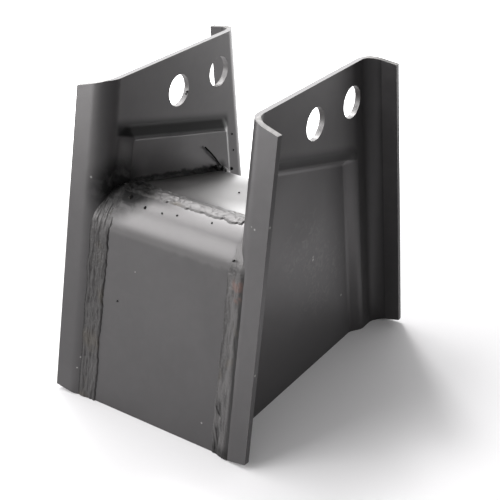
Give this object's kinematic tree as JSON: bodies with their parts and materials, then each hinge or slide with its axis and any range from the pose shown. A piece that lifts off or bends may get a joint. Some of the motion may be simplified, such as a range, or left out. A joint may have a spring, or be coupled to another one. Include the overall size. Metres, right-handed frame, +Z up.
{
  "type": "undermount spring hanger",
  "caption": "Welded steel hanger with flanged, pressed side plates, a bent box web between them and paired cross-bolt holes in the legs, welded under a frame to carry a spring or beam end.",
  "frame": {"origin": "middle of the base, the plane of the edges that are welded to a frame", "axes": "+X across the legs to the right, +Y from the front web to the back, +Z up from the base to the leg ends with the bolt holes, as pictured; in use it hangs the other way up"},
  "size_m": [0.194, 0.2594, 0.2641],
  "materials": {
    "paint": "satin black paint on hot rolled sheet",
    "weld_paint": "satin black paint over rough weld beads"
  },
  "bodies": {
    "root": {"left_side_plate": "paint", "right_side_plate": "paint", "front_web": "paint", "rear_web": "paint", "top_seam_weld": "weld_paint", "front_left_weld": "weld_paint", "front_right_weld": "weld_paint", "top_left_weld": "weld_paint", "top_right_weld": "weld_paint", "rear_left_weld": "weld_paint", "rear_right_weld": "weld_paint"}
  },
  "joints": []
}
